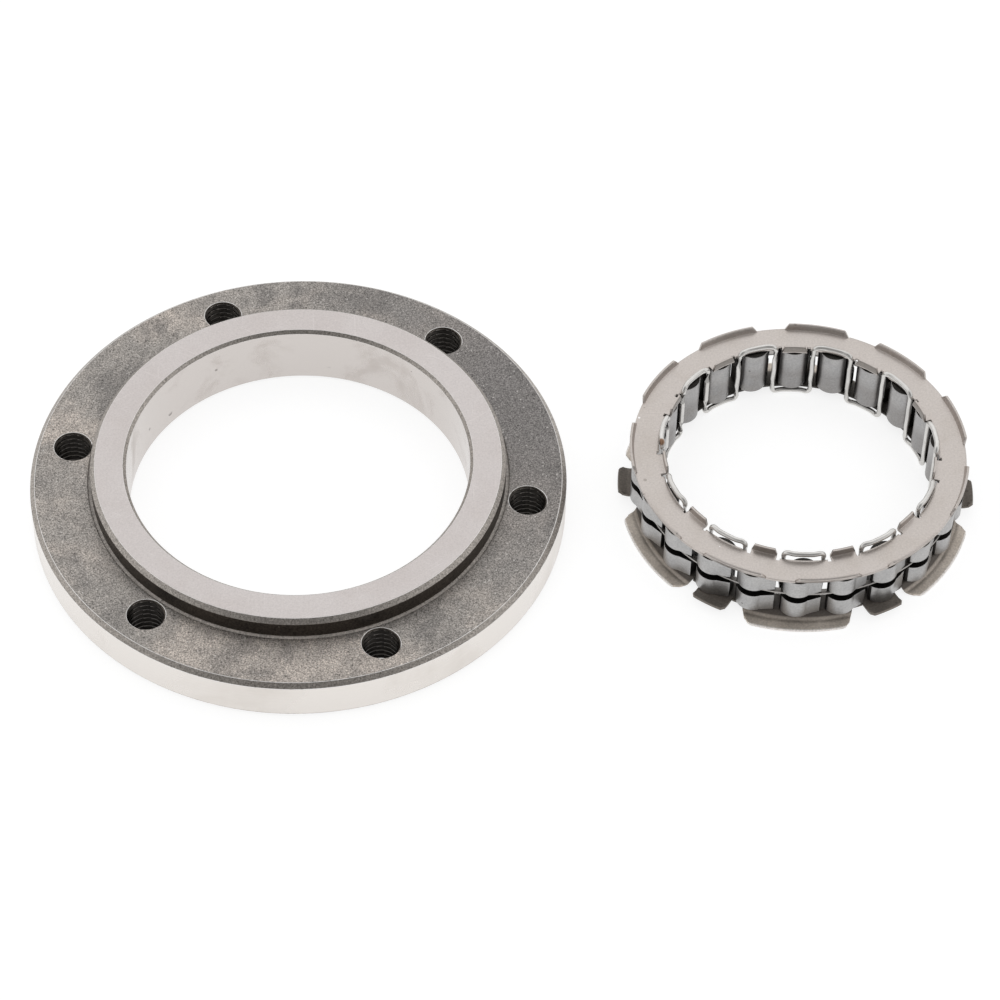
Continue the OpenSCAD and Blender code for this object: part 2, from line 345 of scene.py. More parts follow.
def one_spot(group, given):
    """One soft spot at a place: a mask that falls from 1 to 0 at its radius."""
    centre = add_node(group, "ShaderNodeCombineXYZ", {name: given[name] for name in "XYZ"})
    away = add_node(
        group,
        "ShaderNodeVectorMath",
        {0: object_place(group), 1: centre.outputs["Vector"]},
        operation="DISTANCE",
    )
    fall = add_node(
        group,
        "ShaderNodeMapRange",
        {
            "Value": maths(group, "DIVIDE", away.outputs["Value"], given["Radius"]),
            "From Min": maths(group, "SUBTRACT", 1.0, given["Softness"]),
            "From Max": 1.0,
            "To Min": 1.0,
            "To Max": 0.0,
        },
        interpolation_type="SMOOTHSTEP",
    )
    return {"Mask": fall.outputs["Result"]}


GRAIN = shader_group("fine grain", fine_grain, Scale=2500.0, Amount=0.15)
STAIN = shader_group("soft stains", soft_stains, Scale=120.0, From=0.42, To=0.62, Seed=0.0)
SPECK = shader_group("small specks", small_specks, Scale=400.0, Size=0.12, Share=0.2)
SCRATCH = shader_group("fine scratches", fine_scratches, Turn=0.3, Across=3000.0, Along=60.0, Share=0.68)
TOOL_LINES = shader_group("tool lines", tool_lines, Axis_X=0.0, Axis_Y=0.0, Lines=2500.0, Amount=0.05)
SPOT = shader_group("one spot", one_spot, X=0.0, Y=0.0, Z=0.0, Radius=0.001, Softness=0.5)
ZONE = shader_group(
    "ring zone", ring_zone, Axis_X=0.0, Axis_Y=0.0, Inner=0.0, Outer=1.0, Low=-1.0, High=1.0, Soft=0.0003
)
SECTORS = shader_group(
    "sectors", repeated_sectors, Axis_X=0.0, Axis_Y=0.0, Count=6.0, First=0.0, Width=0.1, Soft=0.01
)


class Finish:
    """One metal finish: a base colour that effects tint in turn, a roughness and a bump."""

    def __init__(self, name, colour, roughness, metallic=1.0):
        self.material = bpy.data.materials.new(name)
        self.material.use_nodes = True
        self.tree = self.material.node_tree
        self.shader = self.tree.nodes["Principled BSDF"]
        self.shader.inputs["Metallic"].default_value = metallic
        self.shader.inputs["Roughness"].default_value = roughness
        self.shader.inputs["Base Color"].default_value = paint(colour)
        self.colour = paint(colour)

    def place(self, group, **values):
        """Puts a shader group into the material with its own values; returns its outputs."""
        inputs = {name.replace("_", " "): value for name, value in values.items()}
        return add_node(self.tree, "ShaderNodeGroup", node_tree=group, inputs=inputs).outputs

    def mix(self, share, other, **settings):
        """Mixes a colour or a tone over the colour so far."""
        node = add_node(
            self.tree,
            "ShaderNodeMix",
            {"Factor": share, "A": self.colour, "B": other},
            data_type="RGBA",
            **settings,
        )
        self.colour = node.outputs["Result"]

    def tint(self, mask, colour, strength):
        """Mixes another colour in where the mask is 1."""
        self.mix(maths(self.tree, "MULTIPLY", mask, strength), paint(colour))

    def mark(self, colour, strength, group, **values):
        """Tints by the mask of a shader group and returns the mask."""
        mask = self.place(group, **values)["Mask"]
        self.tint(mask, colour, strength)
        return mask

    def shade(self, tone):
        """Multiplies the colour by a tone about 1."""
        self.mix(1.0, tone, blend_type="MULTIPLY")

    def grain(self, scale, amount):
        """Shades by the fine grain and returns its height."""
        grain = self.place(GRAIN, Scale=scale, Amount=amount)
        self.shade(grain["Tone"])
        return grain["Height"]

    def both(self, first, second):
        """The product of two masks."""
        return maths(self.tree, "MULTIPLY", first, second)

    def zone(self, axis, **limits):
        """The mask of a ring-shaped zone, with its limits in millimetres."""
        values = {name: mm(value) for name, value in limits.items()}
        return self.place(ZONE, Axis_X=mm(axis.x), Axis_Y=mm(axis.y), **values)["Mask"]

    def sectors(self, axis, count, first, width, soft):
        """The mask of repeated sectors, with the angles in degrees from the front."""
        return self.place(
            SECTORS,
            Axis_X=mm(axis.x),
            Axis_Y=mm(axis.y),
            Count=float(count),
            First=math.radians(first - 90.0),
            Width=math.radians(width),
            Soft=math.radians(soft),
        )["Mask"]

    def rough(self, mask, low, high):
        """Lets the roughness run from low to high with a mask."""
        spread = add_node(self.tree, "ShaderNodeMapRange", {"Value": mask, "To Min": low, "To Max": high})
        self.tree.links.new(spread.outputs["Result"], self.shader.inputs["Roughness"])

    def bump(self, height, distance, strength):
        """Raises the surface by a height, with the distance in millimetres."""
        node = add_node(
            self.tree,
            "ShaderNodeBump",
            {"Height": height, "Distance": mm(distance), "Strength": strength},
        )
        self.tree.links.new(node.outputs["Normal"], self.shader.inputs["Normal"])

    def done(self):
        """Joins the last colour to the shader and returns the material."""
        self.tree.links.new(self.colour, self.shader.inputs["Base Color"])
        return self.material


def blasted_face():
    """The flange's face: mottled grey, browner and lighter in places, with a sandy grain; painted shade
    darkens its right side.
    """
    finish = Finish("blasted face", "A6A19C", 0.55)
    finish.mark("C1B8B0", 0.8, STAIN, Scale=30.0, From=0.42, To=0.56, Seed=2.0)
    # Painted shade: a wide soft spot that darkens the right side of the flange.
    finish.mark("706F70", 0.78, SPOT, X=mm(46), Y=mm(22), Z=mm(9), Radius=mm(66), Softness=0.9)
    finish.mark("757270", 0.5, STAIN, Scale=60.0, From=0.52, To=0.62, Seed=7.0)
    finish.mark("83807D", 0.35, STAIN, Scale=260.0, From=0.40, To=0.62, Seed=4.0)
    sand = finish.grain(3200.0, 0.62)
    finish.grain(6200.0, 0.5)
    finish.mark("45423F", 0.6, SPECK, Scale=1300.0, Size=0.25, Share=0.12)
    finish.mark("DDD9D5", 0.6, SPECK, Scale=1500.0, Size=0.25, Share=0.1)
    finish.rough(sand, 0.45, 0.65)
    finish.bump(sand, 0.05, 0.5)
    return finish.done()


def grained_chamfer():
    """The turned chamfers, left a darker brown-grey with a fine grain."""
    finish = Finish("grained chamfer", "A39D97", 0.42)
    finish.shade(finish.place(TOOL_LINES, Lines=3500.0, Amount=0.25)["Tone"])
    finish.bump(finish.grain(3200.0, 0.55), 0.03, 0.4)
    return finish.done()


def ground_wall():
    """The flange's outer wall: bright and satin, with faint upright clouds and grinding lines."""
    finish = Finish("ground wall", "E6E1DC", 0.3)
    finish.shade(finish.place(TOOL_LINES, Lines=4000.0, Amount=0.07)["Tone"])
    warm = finish.mark("D6CFC8", 0.6, STAIN, Scale=45.0, From=0.45, To=0.7, Seed=11.0)
    finish.mark("8E8882", 0.5, SPECK, Scale=330.0, Size=0.07, Share=0.08)
    finish.rough(warm, 0.26, 0.36)
    return finish.done()


def ground_top():
    """The collar's top: ground smooth, with a few fine scratches."""
    finish = Finish("ground top", "C4BEBC", 0.3)
    finish.mark("BAB2AF", 0.5, STAIN, Scale=60.0, From=0.4, To=0.7, Seed=5.0)
    for turn, across in ((0.5, 3600.0), (1.5, 3900.0), (2.5, 4200.0)):
        finish.mark("E4DFDD", 0.22, SCRATCH, Turn=turn, Across=across, Along=70.0, Share=0.72)
    finish.bump(finish.grain(3000.0, 0.09), 0.008, 0.3)
    return finish.done()


def black_wall():
    """The collar's wall, left with a black heat-treated skin."""
    finish = Finish("black wall", "554F49", 0.45)
    grain = finish.grain(2600.0, 0.5)
    finish.mark("8C867F", 0.7, SPECK, Scale=600.0, Size=0.14, Share=0.1)
    finish.bump(grain, 0.03, 0.4)
    return finish.done()


def root_groove():
    """The groove at the collar's root: scaly and matt, lighter than the wall above it."""
    finish = Finish("root groove", "B5AFA9", 0.6, metallic=0.15)
    finish.bump(finish.grain(2600.0, 0.45), 0.03, 0.4)
    return finish.done()


def bore_wall():
    """The ground bore: bright, with soft smudges and a few dark nicks near its lower edge."""
    finish = Finish("bore wall", "D1CBC7", 0.26)
    smudge = finish.mark("B9B1AB", 0.6, STAIN, Scale=110.0, From=0.5, To=0.75, Seed=9.0)
    finish.shade(finish.place(TOOL_LINES, Lines=5200.0, Amount=0.06)["Tone"])
    finish.mark("6E6863", 0.55, SPECK, Scale=330.0, Size=0.11, Share=0.12)
    low = finish.zone(Vector((0, 0, 0)), Inner=0.0, Outer=60.0, Low=1.3, High=3.4, Soft=0.8)
    dashes = finish.place(SPECK, Scale=260.0, Size=0.16, Share=0.3)["Mask"]
    finish.tint(finish.both(low, dashes), "4C4742", 0.7)
    finish.rough(smudge, 0.22, 0.36)
    return finish.done()


def rubbed_edge_and_painted_highlight():
    """The thin bright line where an edge is rubbed bare, made near white as a painted highlight."""
    # Near white: a painted highlight on the rubbed edges.
    finish = Finish("rubbed edge and painted highlight", "F4F2F0", 0.35, metallic=0.5)
    finish.mark("A8A29C", 0.7, STAIN, Scale=700.0, From=0.5, To=0.7, Seed=3.0)
    return finish.done()


def thread_steel():
    """The turns of the threads, coloured dark."""
    finish = Finish("thread steel", "3E3B38", 0.34)
    finish.grain(1800.0, 0.3)
    return finish.done()


def ring_sheet():
    """The top ring's sheet: pale, even and tumbled, with tiny specks, a little staining, and painted shade
    on its upright tabs.
    """
    finish = Finish("ring sheet", "C1BAB5", 0.36)
    finish.mark("B7AFA8", 0.6, STAIN, Scale=140.0, From=0.42, To=0.72, Seed=6.0)
    # Painted shade: the upright tabs' faces darkened, standing in for the dark they reflect.
    tab_painted_shade = finish.zone(CAGE, Inner=0.0, Outer=TAB_MID_R - 0.1, Low=12.8, High=20.0, Soft=0.2)
    finish.tint(tab_painted_shade, "7A7570", 0.8)
    grain = finish.grain(2600.0, 0.1)
    finish.mark("877F77", 0.5, SPECK, Scale=330.0, Size=0.12, Share=0.2)
    finish.mark("FFFFFF", 0.6, SPECK, Scale=260.0, Size=0.07, Share=0.2)
    finish.bump(grain, 0.01, 0.35)
    return finish.done()


def flange_sheet():
    """The bottom ring's sheet: browner, with painted shade beneath the sprags, on the joggle and on its
    small tabs, and a painted highlight along the lobes' outer edges.
    """
    finish = Finish("flange sheet", "CFC5BA", 0.45, metallic=0.5)
    finish.mark("B2A699", 0.6, STAIN, Scale=120.0, From=0.42, To=0.72, Seed=6.0)
    # Painted shade: the plate beneath the sprags, darkened nearly to black.
    painted_shade_beneath_sprags = finish.zone(CAGE, Inner=0.0, Outer=STEP_R + 1.3, Low=0.9, High=5.0, Soft=0.4)
    finish.tint(painted_shade_beneath_sprags, "262422", 0.92)
    # Painted shade: the small turned-up tabs darkened, standing in for the dark they reflect.
    ears = finish.sectors(CAGE, LOBES, LOBE_TURN + 30.0, 18.0, 1.0)
    beyond = finish.zone(CAGE, Inner=STEP_R + 0.3, Outer=60.0, Low=0.9, High=5.0, Soft=0.3)
    finish.tint(finish.both(ears, beyond), "635D57", 0.85)
    # Painted shade: the joggle's slope darkened.
    step = finish.zone(CAGE, Inner=STEP_R, Outer=STEP_R + 2.2, Low=0.0, High=5.0, Soft=0.5)
    finish.tint(step, "5E564F", 0.45)
    # Painted highlight: a near-white line along the lobes' outer edges.
    painted_rim_highlight = finish.zone(CAGE, Inner=LOBE_R - 0.28, Outer=60.0, Low=0.0, High=0.7, Soft=0.08)
    finish.tint(painted_rim_highlight, "F0ECE8", 0.8)
    grain = finish.grain(2400.0, 0.2)
    finish.mark("4F4943", 0.5, SPECK, Scale=330.0, Size=0.12, Share=0.2)
    finish.bump(grain, 0.01, 0.35)
    return finish.done()


def spring_wire():
    """Drawn wire with painted shade where it stands between the sprags, and one spot of rust at the left.
    """
    finish = Finish("spring wire", "D9D7D4", 0.3)
    finish.mark("B9B6B2", 0.5, STAIN, Scale=160.0, From=0.42, To=0.7, Seed=12.0)
    finish.grain(2600.0, 0.06)
    finish.mark("7A7672", 0.5, SPECK, Scale=700.0, Size=0.12, Share=0.08)
    # Painted shade: the wire's outer side between the sprags, darkened nearly to black.
    painted_shade_between_sprags = finish.zone(CAGE, Inner=LEG_R + 0.2, Outer=60.0, Low=SPRAG_LOW, High=SPRAG_HIGH, Soft=0.3)
    finish.tint(painted_shade_between_sprags, "1E1D1C", 0.92)
    at = mm(*(CAGE + round_place(*RUST)))
    rust = finish.mark("8F6A4C", 0.9, SPOT, X=at.x, Y=at.y, Z=at.z, Radius=mm(0.95), Softness=0.5)
    finish.rough(rust, 0.3, 0.6)
    return finish.done()


def sprag_steel():
    """The sprags' flanks and cams: tumbled blue-grey steel, with painted shade on the inner cams that grows
    towards the bottom.
    """
    finish = Finish("sprag steel", "B4B3B2", 0.38)
    # Painted shade: the inner cams darken towards the bottom.
    low = finish.zone(CAGE, Inner=0.0, Outer=INNER_CAMS_R, Low=0.0, High=8.0, Soft=3.0)
    finish.tint(low, "7C7875", 0.55)
    # Painted shade: the inner cams a little darker all over.
    inside = finish.zone(CAGE, Inner=0.0, Outer=INNER_CAMS_R, Low=0.0, High=14.0, Soft=0.6)
    finish.tint(inside, "8C8887", 0.2)
    finish.mark("9C9C9D", 0.5, STAIN, Scale=260.0, From=0.4, To=0.7, Seed=8.0)
    grain = finish.grain(2600.0, 0.14)
    finish.mark("5E5D5C", 0.6, SPECK, Scale=420.0, Size=0.1, Share=0.14)
    finish.bump(grain, 0.01, 0.4)
    return finish.done()


def sprag_end():
    """The sprags' end faces, grooves and the faces towards their gaps: painted shade in the grooves and on
    the gap faces, and dark end faces.
    """
    finish = Finish("sprag end", "363432", 0.5)
    finish.grain(2200.0, 0.25)
    return finish.done()


def hoop_steel():
    """The flat hoop: blued strip."""
    finish = Finish("hoop steel", "A8A5A2", 0.34)
    finish.grain(2600.0, 0.12)
    return finish.done()


# Mesh parts


def finish_mesh(name, bm, materials, body, replaced, sharp=35.0):
    """Turns a bmesh into a piece that rides on a body and stands for the CAD nodes named."""
    bmesh.ops.recalc_face_normals(bm, faces=bm.faces[:])
    mesh = bpy.data.meshes.new(name)
    bm.to_mesh(mesh)
    bm.free()
    for material in materials:
        mesh.materials.append(material)
    mesh.shade_smooth()
    mesh.set_sharp_from_angle(angle=math.radians(sharp))
    piece = bpy.data.objects.new(name, mesh)
    scene.collection.objects.link(piece)
    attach(piece, body)
    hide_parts(*replaced)
    return piece


def even_shading(piece):
    """Lets the large faces set the shading, so that small bevels don't bend the light on them."""
    weighted = piece.modifiers.new("even shading", "WEIGHTED_NORMAL")
    weighted.keep_sharp = True
    weighted.weight = 80


def eased(corners, steps=3):
    """Rounds each (radius, height, ease) corner of an open outline with a short arc."""
    outline = []
    for i, (radius, height, ease) in enumerate(corners):
        here = Vector((radius, height))
        if ease == 0 or i in (0, len(corners) - 1):
            outline.append(here)
            continue
        back = (Vector(corners[i - 1][:2]) - here).normalized() * ease
        ahead = (Vector(corners[i + 1][:2]) - here).normalized() * ease
        for step in range(steps + 1):
            t = step / steps
            outline.append(here + back * (1 - t) ** 2 + ahead * t**2)
    return outline


def spin_outline(bm, outline, steps):
    """Spins an open outline of (radius, height) places in millimetres about the upright axis."""
    verts = [bm.verts.new(mm(p.x, 0.0, p.y)) for p in outline]
    edges = [bm.edges.new(pair) for pair in zip(verts, verts[1:])]
    bmesh.ops.spin(
        bm, geom=verts + edges, cent=(0, 0, 0), axis=(0, 0, 1), angle=math.tau, steps=steps, use_merge=True
    )


def circle_edges(bm, radius, height):
    """The edges that lie on one circle about the upright axis."""

    def on_circle(v):
        return abs(math.hypot(v.co.x, v.co.y) - mm(radius)) < 2e-6 and abs(v.co.z - mm(height)) < 2e-6

    return [e for e in bm.edges if all(on_circle(v) for v in e.verts)]


def thread_radius(height, turn):
    """The radius of a hole's wall: a thread between two countersinks."""
    phase = (height / THREAD_PITCH - turn / math.tau) % 1.0
    tooth = min(max(1 - abs(phase - 0.5) / THREAD_FLANK, 0.0), THREAD_CREST)
    return max(
        HOLE_R + THREAD_DEPTH * tooth,
        HOLE_R + height - (FLANGE_T - MOUTH_SINK),
        HOLE_R + BASE_SINK - height,
    )


def cut_hole(bm, centre):
    """Adds one threaded hole's wall and returns the edges of its two mouths."""
    ring = bmesh.ops.create_circle(
        bm, segments=HOLE_SIDES, radius=1.0, matrix=Matrix.Identity(4), cap_ends=False
    )["verts"]
    turns = [math.tau * i / HOLE_SIDES for i in range(HOLE_SIDES)]
    label = bm.verts.layers.int["column"]
    for vert in ring:
        vert[label] = round(math.atan2(vert.co.y, vert.co.x) / math.tau * HOLE_SIDES) % HOLE_SIDES
    mouth = edges = list({e for v in ring for e in v.link_edges})
    heights = [FLANGE_T, FLANGE_T - 0.05]
    rows = round(FLANGE_T / THREAD_PITCH * ROWS_PER_TURN)
    heights += [FLANGE_T * (1 - (i + 1) / rows) for i in range(rows)]
    for row, height in enumerate(heights):
        if row:
            grown = bmesh.ops.extrude_edge_only(bm, edges=edges)["geom"]
            ring = [g for g in grown if isinstance(g, bmesh.types.BMVert)]
            fresh = set(ring)
            edges = [g for g in grown if isinstance(g, bmesh.types.BMEdge) and set(g.verts) <= fresh]
        for vert in ring:
            turn = turns[vert[label]]
            radius = thread_radius(height, turn) + (MOUTH_FLARE if row == 0 else 0.0)
            vert.co = mm(
                centre.x + radius * math.cos(turn), centre.y + radius * math.sin(turn), height
            )
    return mouth, edges


def fill_face(bm, rims, mouths):
    """Fills the flat face between two circles, one sector with its hole at a time."""
    step = 360.0 / RACE_STEPS
    start = round((HOLE_TURN - 120.0) / step) * step
    share = 360.0 / HOLES

    def past(place, number):
        """How many degrees a place lies past the start of a sector."""
        turn = math.degrees(math.atan2(place.y, place.x))
        return (turn - start - share * number + 0.01) % 360.0 - 0.01

    def corner(edges, number):
        return next(v for e in edges for v in e.verts if past(v.co, number) < 0.01)

    for number, mouth in enumerate(mouths):
        border = list(mouth)
        for which in (number, number + 1):
            pair = [corner(edges, which) for edges in rims]
            border.append(bm.edges.get(pair) or bm.edges.new(pair))
        for edge in rims[0] + rims[1]:
            if 0.0 < past((edge.verts[0].co + edge.verts[1].co) / 2, number) < share:
                border.append(edge)
        bmesh.ops.triangle_fill(bm, use_beauty=True, use_dissolve=False, edges=border, normal=(0, 0, 1))


def build_race(materials):
    """The outer race: two turned skins, six threaded holes, and the two flat faces between them."""
    bm = bmesh.new()
    bm.verts.layers.int.new("column")
    face_out = FLANGE_R - FLANGE_CHAMFER
    step_out = COLLAR_R + GROOVE_W
    foot_in = BORE_R + BORE_CHAMFER
    # The wall stays a hair inside its true radius, so that its corners keep inside the solid's box
    wall_r = FLANGE_R - SKIN_INSIDE
    outer_skin = eased([
        (face_out - RIM, 0.0, 0),
        (face_out, 0.0, 0.1),
        (wall_r, FLANGE_CHAMFER, 0.12),
        (wall_r, FLANGE_T - FLANGE_CHAMFER, 0.1),
        (face_out, FLANGE_T, 0.16),
        (face_out - RIM, FLANGE_T, 0),
    ])
    inner_skin = eased([
        (step_out + RIM, FLANGE_T, 0),
        (step_out, FLANGE_T, 0.14),
        (step_out, FLANGE_T - GROOVE_T, 0.05),
        (COLLAR_R - GROOVE_UNDERCUT, FLANGE_T - GROOVE_T, 0.05),
        (COLLAR_R, FLANGE_T, 0.05),
        (COLLAR_R, RACE_TOP - COLLAR_CHAMFER, 0.1),
        (COLLAR_R - COLLAR_CHAMFER, RACE_TOP, 0.12),
        (foot_in, RACE_TOP, 0.1),
        (BORE_R, RACE_TOP - BORE_CHAMFER, 0.1),
        (BORE_R, BORE_CHAMFER, 0.1),
        (foot_in, 0.0, 0.1),
        (foot_in + RIM, 0.0, 0),
    ])
    spin_outline(bm, outer_skin, RACE_STEPS)
    spin_outline(bm, inner_skin, RACE_STEPS)
    top_rims = [circle_edges(bm, face_out - RIM, FLANGE_T), circle_edges(bm, step_out + RIM, FLANGE_T)]
    base_rims = [circle_edges(bm, face_out - RIM, 0.0), circle_edges(bm, foot_in + RIM, 0.0)]
    centres = [round_place(HOLE_CIRCLE_R, HOLE_TURN + 360 * i / HOLES, 0.0) for i in range(HOLES)]
    holes = [cut_hole(bm, centre) for centre in centres]
    # The fill joins places that lie very close together, so it works in millimetres
    bmesh.ops.scale(bm, vec=(1000, 1000, 1000), verts=bm.verts[:])
    fill_face(bm, top_rims, [mouth for mouth, foot in holes])
    fill_face(bm, base_rims, [foot for mouth, foot in holes])
    bmesh.ops.scale(bm, vec=(0.001, 0.001, 0.001), verts=bm.verts[:])
    bmesh.ops.recalc_face_normals(bm, faces=bm.faces[:])
    for face in bm.faces:
        face.material_index = RACE_FINISHES.index(race_finish(face, centres))
    coats = [materials[name] for name in RACE_FINISHES]
    even_shading(finish_mesh("outer_race_dressed", bm, coats, "race", ["outer_race"]))


# The edge finish: rubbed edges, painted near white as a highlight.
RACE_FINISHES = ("face", "chamfer", "wall", "top", "black", "bore", "edge", "thread", "root")


def race_finish(face, centres):
    """Which of the race's finishes a face has."""
    middle = face.calc_center_median() * 1000
    radius = math.hypot(middle.x, middle.y)
    upright = abs(face.normal.z)
    flat, steep, slanted = upright > 0.98, upright < 0.2, 0.6 < upright < 0.8
    root_out = COLLAR_R + GROOVE_W
    in_hole = min((middle.xy - c.xy).length for c in centres) < HOLE_R + MOUTH_SINK + 0.12
    if in_hole and 0.02 < middle.z < FLANGE_T - TOUCH:
        if middle.z > FLANGE_T - 0.06:
            return "edge"
        return "black" if middle.z > FLANGE_T - MOUTH_SINK else "thread"
    if radius > FLANGE_R - TOUCH and steep:
        return "wall"
    if radius < BORE_R + TOUCH and steep:
        return "bore"
    if middle.z > RACE_TOP - TOUCH and flat:
        return "top"
    if flat and radius > root_out and (middle.z > FLANGE_T - TOUCH or middle.z < TOUCH):
        return "face"
    if radius < root_out + 0.02 and FLANGE_T - GROOVE_T - 0.1 < middle.z < RACE_TOP - COLLAR_CHAMFER:
        if radius > root_out - 0.2 and middle.z > FLANGE_T - 0.12:
            return "edge"
        return "root" if middle.z < FLANGE_T + 0.05 else "black"
    if slanted:
        return "chamfer"
    return "face" if middle.z < 1.0 else "edge"


class SheetGrid:
    """Sheet that grows edge by edge from a circle: every vertex keeps the number of its column."""

    def __init__(self, columns):
        self.columns = columns
        self.bm = bmesh.new()
        self.label = self.bm.verts.layers.int.new("column")

    def start(self, place):
        """Begins with a closed row; place(column) gives a place in millimetres."""
        count = len(self.columns)
        row = bmesh.ops.create_circle(self.bm, segments=count, radius=1.0, cap_ends=False)["verts"]
        for number, vert in enumerate(row):
            vert[self.label] = number
            vert.co = mm(*place(number))
        return list({e for v in row for e in v.link_edges})

    def grow(self, edges, place):
        """Extrudes edges to a new row and returns the row's edges."""
        if not edges:
            return []
        grown = bmesh.ops.extrude_edge_only(self.bm, edges=edges)["geom"]
        fresh = {g for g in grown if isinstance(g, bmesh.types.BMVert)}
        for vert in fresh:
            vert.co = mm(*place(vert[self.label]))
        return [g for g in grown if isinstance(g, bmesh.types.BMEdge) and set(g.verts) <= fresh]

    def pick(self, edges, wanted):
        """The edges whose middle, halfway between their two columns, passes the test."""
        chosen = []
        count = len(self.columns)
        for edge in edges:
            first, second = sorted(v[self.label] for v in edge.verts)
            if second - first > 1:
                first, second = second, first + count
            low = self.columns[first % count]
            high = self.columns[second % count]
            if high < low:
                high += 360.0
            if wanted((low + high) / 2 % 360.0):
                chosen.append(edge)
        return chosen


def thick_sheet(piece):
    """Gives a sheet its thickness about its middle and breaks its sharp edges."""
    solid = piece.modifiers.new("thickness", "SOLIDIFY")
    solid.thickness = mm(SHEET)
    solid.offset = 0.0
    solid.use_even_offset = True
    bevel = piece.modifiers.new("edges", "BEVEL")
    bevel.width = mm(SHEET_EDGE)
    bevel.segments = 2
    bevel.limit_method = "ANGLE"
    bevel.angle_limit = math.radians(40)
    bevel.harden_normals = False


def spread_columns(marks, widest):
    """Column angles that hold every mark, with the gaps between marks divided evenly."""
    marks = sorted(set(round(m % 360.0, 6) for m in marks))
    columns = []
    for low, high in zip(marks, marks[1:] + [marks[0] + 360.0]):
        parts = max(1, math.ceil((high - low) / widest))
        columns += [(low + (high - low) * i / parts) % 360.0 for i in range(parts)]
    return sorted(columns)


def near(angle, centres, half):
    """The nearest centre if the angle lies within half of it, or None."""
    for centre in centres:
        away = (angle - centre + 180.0) % 360.0 - 180.0
        if abs(away) < half:
            return centre
    return None


def build_top_ring(materials):
    """The top ring: flat sheet, eleven leaning lips outside and eleven upright tabs inside."""
    lip_centres = [(2 * k + 0.5) * PITCH for k in range(LIPS)]
    tab_centres = [(2 * k + 1) * PITCH for k in range(LIPS)]
    lip_half = math.degrees(LIP_LEN / 2 / RING_OUTER_R)
    tab_half = math.degrees(TAB_W / 2 / RING_INNER_R)
    notch_half = math.degrees((TAB_W / 2 + NOTCH) / RING_INNER_R)
    marks = [c + s * lip_half for c in lip_centres for s in (-1, 1)]
    marks += [c + s * h for c in tab_centres for s in (-1, 1) for h in (tab_half, notch_half)]
    columns = spread_columns(marks, 1.8)
    grid = SheetGrid(columns)

    def flat(radius):
        return lambda n: CAGE + round_place(radius, columns[n], RING_MID_Z)

    def wall(radius, height, centres, half, base_r, slant):
        """A row of walls that keep their width along the base and lose it with height."""

        def place(n):
            centre = near(columns[n], centres, half + 0.01)
            away = math.radians((columns[n] - centre + 180.0) % 360.0 - 180.0)
            lost = slant * max(height - RING_MID_Z - BEND_R, 0.0)
            across = base_r * math.sin(away) * (1 - lost)
            return CAGE + round_place(radius, centre + math.degrees(math.asin(across / radius)), height)

        return place

    def lip_row(radius, height):
        return wall(radius, height, lip_centres, lip_half, RING_OUTER_R, LIP_SLANT)

    def tab_row(radius, height, slant=TAB_SLANT):
        return wall(radius, height, tab_centres, tab_half, RING_INNER_R, slant)

    first = edges = grid.start(flat(RING_INNER_R + NOTCH_DEEP))
    for radius in (29.3, 30.8, LIP_MID_R - BEND_R):
        edges = grid.grow(edges, flat(radius))
    lips = grid.pick(edges, lambda a: near(a, lip_centres, lip_half) is not None)
    leaving = set(lips)
    grid.grow([e for e in edges if e not in leaving], flat(RING_OUTER_R))
    lean_turn = math.atan2(LIP_LEAN, LIP_TOP - RING_MID_Z)
    for angle in (30, 55, 75):
        turn = min(math.radians(angle), math.pi / 2 - lean_turn)
        radius = LIP_MID_R - BEND_R + BEND_R * math.sin(turn)
        lips = grid.grow(lips, lip_row(radius, RING_MID_Z + BEND_R * (1 - math.cos(turn))))
    for share in (0.5, 1.0):
        rise = (LIP_TOP - RING_MID_Z - BEND_R) * share
        lips = grid.grow(lips, lip_row(LIP_MID_R + LIP_LEAN * share, RING_MID_Z + BEND_R + rise))

    tabs = grid.pick(first, lambda a: near(a, tab_centres, tab_half) is not None)
    notches = set(grid.pick(first, lambda a: near(a, tab_centres, notch_half) is not None))
    grid.grow([e for e in first if e not in notches], flat(RING_INNER_R))
    for radius in (RING_INNER_R, TAB_MID_R + BEND_R):
        tabs = grid.grow(tabs, tab_row(radius, RING_MID_Z, slant=0.0))
    for angle in (30, 60, 90):
        turn = math.radians(angle)
        radius = TAB_MID_R + BEND_R - BEND_R * math.sin(turn)
        tabs = grid.grow(tabs, tab_row(radius, RING_MID_Z + BEND_R * (1 - math.cos(turn))))
    for share in (0.5, 1.0):
        rise = (TAB_TOP - RING_MID_Z - BEND_R) * share
        tabs = grid.grow(tabs, tab_row(TAB_MID_R, RING_MID_Z + BEND_R + rise))
    piece = finish_mesh(
        "top_ring_dressed", grid.bm, [materials["ring"]], "cage", ["top_ring"], 50.0
    )
    thick_sheet(piece)
    even_shading(piece)


